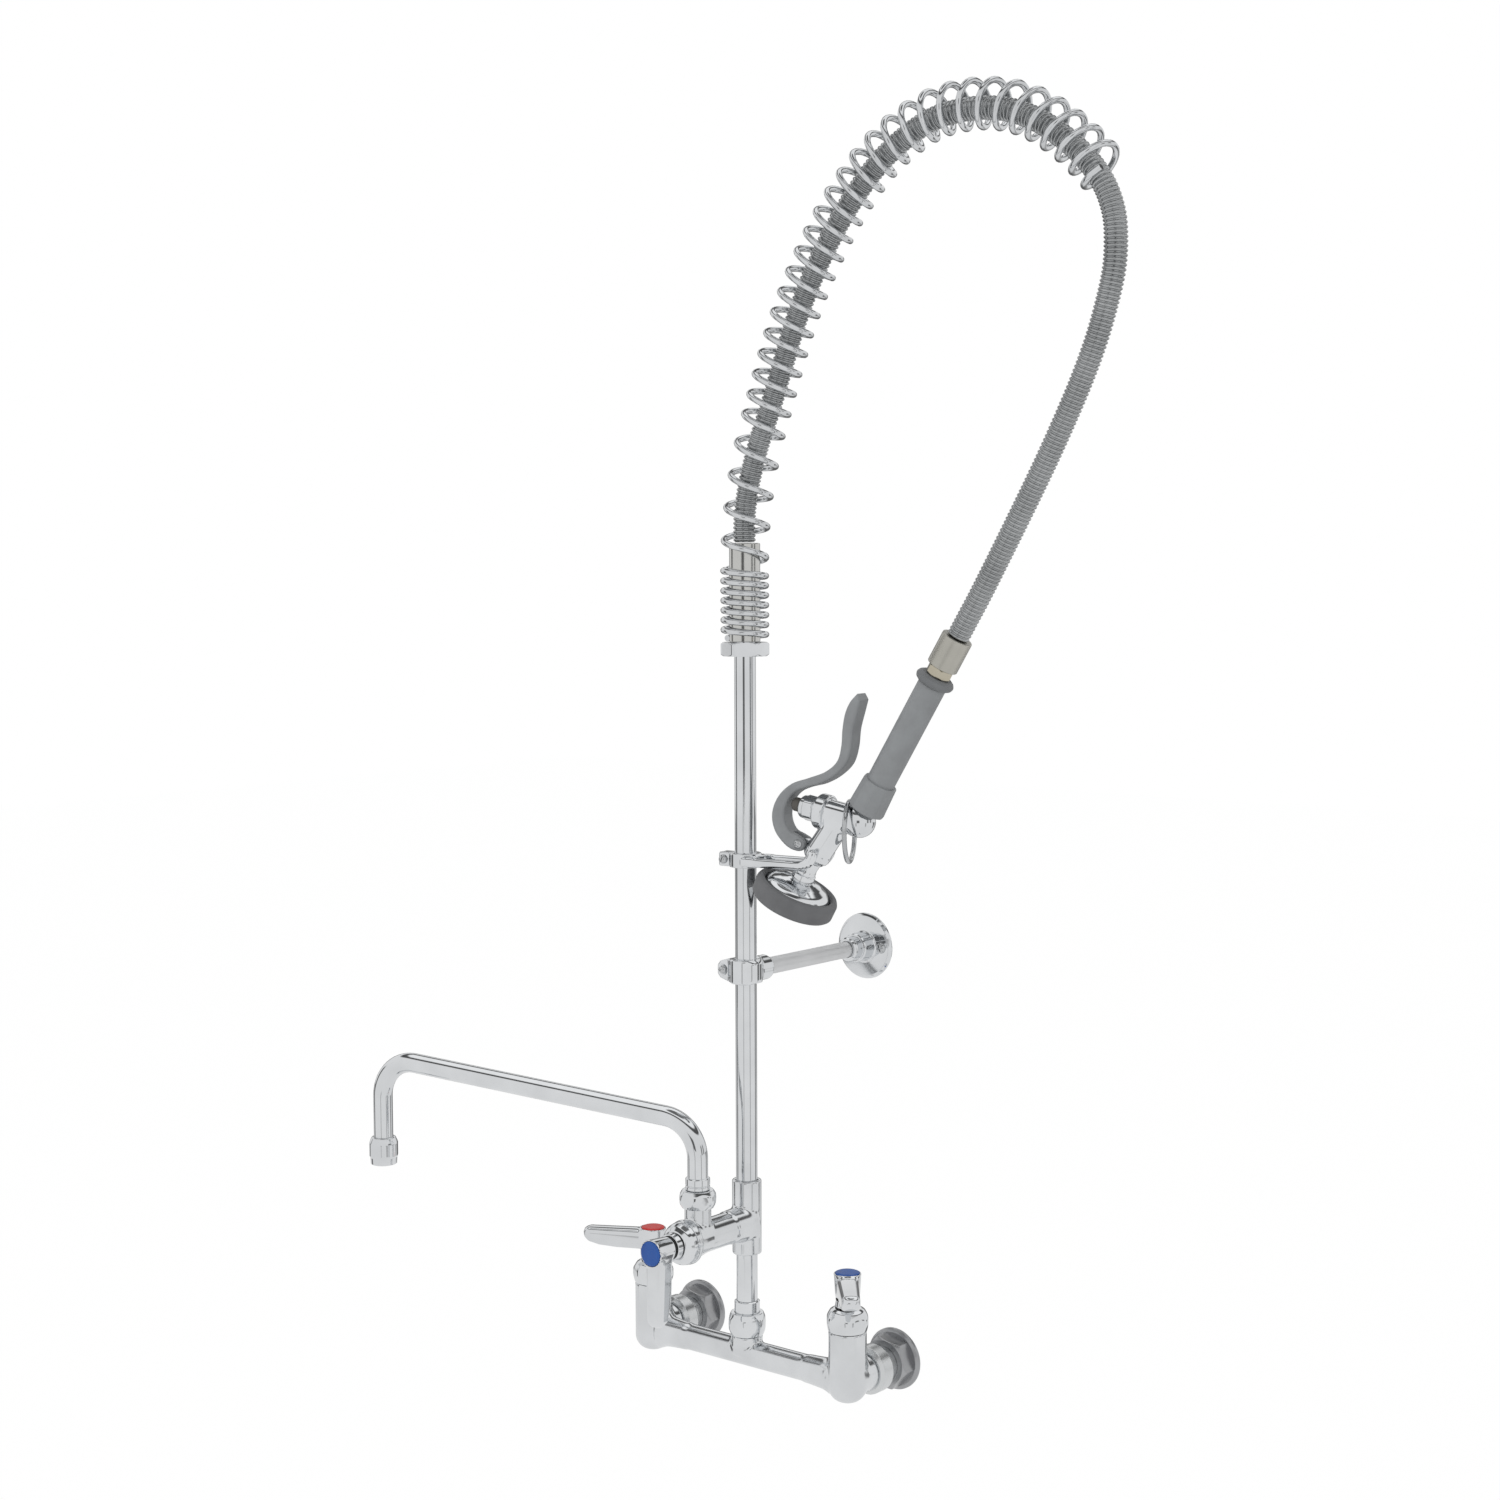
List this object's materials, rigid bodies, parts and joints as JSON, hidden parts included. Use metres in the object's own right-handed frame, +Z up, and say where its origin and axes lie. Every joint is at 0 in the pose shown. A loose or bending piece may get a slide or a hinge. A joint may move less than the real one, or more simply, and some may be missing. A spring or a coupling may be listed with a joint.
{
  "type": "commercial wall faucet",
  "caption": "Wall-mounted pre-rinse faucet: lever valves on a cross body, riser with overhead spring and steel hose, squeeze spray valve on a finger hook, and a swing spout.",
  "frame": {"origin": "on the wall's face, midway between the two supply inlets, at their height", "axes": "+Z up along the riser, +Y into the wall, +X to the right of a person who faces the wall"},
  "size_m": [0.6312, 0.2923, 1.0146],
  "materials": {
    "chrome": "polished chrome plate",
    "satin": "satin grey plate",
    "nickel": "satin nickel plate",
    "steel": "bright stainless steel",
    "brass": "dull brass",
    "grey_plastic": "fine grain",
    "dark_rubber": "matte",
    "black_rubber": "matte",
    "blue_cap": "glossy, plain",
    "red_cap": "glossy, plain"
  },
  "bodies": {
    "faucet": {"base_body": "chrome", "hot_inlet_flange": "satin", "hot_inlet_coupling": "chrome", "hot_inlet_washer": "black_rubber", "cold_inlet_flange": "satin", "cold_inlet_coupling": "chrome", "cold_inlet_washer": "black_rubber", "hot_cartridge": "brass", "hot_bonnet": "chrome", "cold_cartridge": "brass", "cold_bonnet": "chrome", "addon_cartridge": "brass", "addon_bonnet": "chrome", "outlet_swivel_nut": "chrome", "outlet_washer": "black_rubber", "nipple_collar": "chrome", "lower_nipple": "chrome", "addon_tee": "chrome", "spout_swivel_nut": "chrome", "spout_o_ring": "black_rubber", "riser_pipe": "chrome", "spring_nut": "chrome", "hose_lower_ferrule": "nickel", "bracket_front_clamp": "chrome", "bracket_rear_clamp": "chrome", "bracket_clamp_screw": "steel", "bracket_pipe": "steel", "bracket_flange": "chrome", "bracket_flange_screw_left": "steel", "bracket_flange_screw_right": "steel", "overhead_spring": "chrome", "flexible_hose": "steel", "finger_hook": "chrome", "hook_screw": "steel", "hose_upper_ferrule": "nickel", "grip_adapter": "brass", "grip_handle": "grey_plastic", "spray_valve_body": "chrome", "spray_bonnet": "chrome", "spray_dome": "chrome", "spray_face": "steel", "bumper_ring": "dark_rubber", "squeeze_pivot_screw": "steel"},
    "hot_handle": {"hot_stem": "brass", "hot_lever": "chrome", "hot_lever_screw": "steel", "hot_index": "red_cap"},
    "cold_handle": {"cold_stem": "brass", "cold_lever": "chrome", "cold_lever_screw": "steel", "cold_index": "blue_cap"},
    "addon_handle": {"addon_stem": "brass", "addon_lever": "chrome", "addon_lever_screw": "steel", "addon_index": "blue_cap"},
    "swing_spout": {"spout_tube": "chrome", "spout_outlet": "chrome"},
    "squeeze_handle": {"squeeze_lever": "grey_plastic"},
    "plunger": {"spray_plunger": "dark_rubber"},
    "hold_down": {"hold_down_ring": "steel"}
  },
  "joints": [
    {"name": "hot_turn", "type": "hinge", "parent": "faucet", "child": "hot_handle", "pos_m": [-0.1016, -0.0635, 0.06], "axis": [0, 0, 1], "range_deg": [-90, 0]},
    {"name": "cold_turn", "type": "hinge", "parent": "faucet", "child": "cold_handle", "pos_m": [0.1016, -0.0635, 0.06], "axis": [0, 0, 1], "range_deg": [0, 90]},
    {"name": "addon_turn", "type": "hinge", "parent": "faucet", "child": "addon_handle", "pos_m": [0, -0.1425, 0.1075], "axis": [0, -1, 0], "range_deg": [0, 90]},
    {"name": "spout_swing", "type": "hinge", "parent": "faucet", "child": "swing_spout", "pos_m": [0, -0.1238, 0.16], "axis": [0, 0, 1], "range_deg": [-30, 185]},
    {"name": "squeeze", "type": "hinge", "parent": "faucet", "child": "squeeze_handle", "pos_m": [0.0528, -0.05702, 0.4173], "axis": [-0.1219, 0.9925, 0], "range_deg": [0, 8], "stiffness_Nm_per_rad": 4, "springref_deg": -4.58},
    {"name": "plunger_slide", "type": "slide", "parent": "faucet", "child": "plunger", "axis": [0.9759, 0.1198, -0.1822], "range_m": [0, 0.0045]},
    {"name": "hold_down_swing", "type": "hinge", "parent": "faucet", "child": "hold_down", "pos_m": [0.09479, -0.05186, 0.4518], "axis": [-0.454, 0.891, 0], "range_deg": [-25, 0]}
  ],
  "couplings": [
    {"joint": "plunger_slide", "follows": "squeeze", "m_per_rad": 0.03}
  ]
}
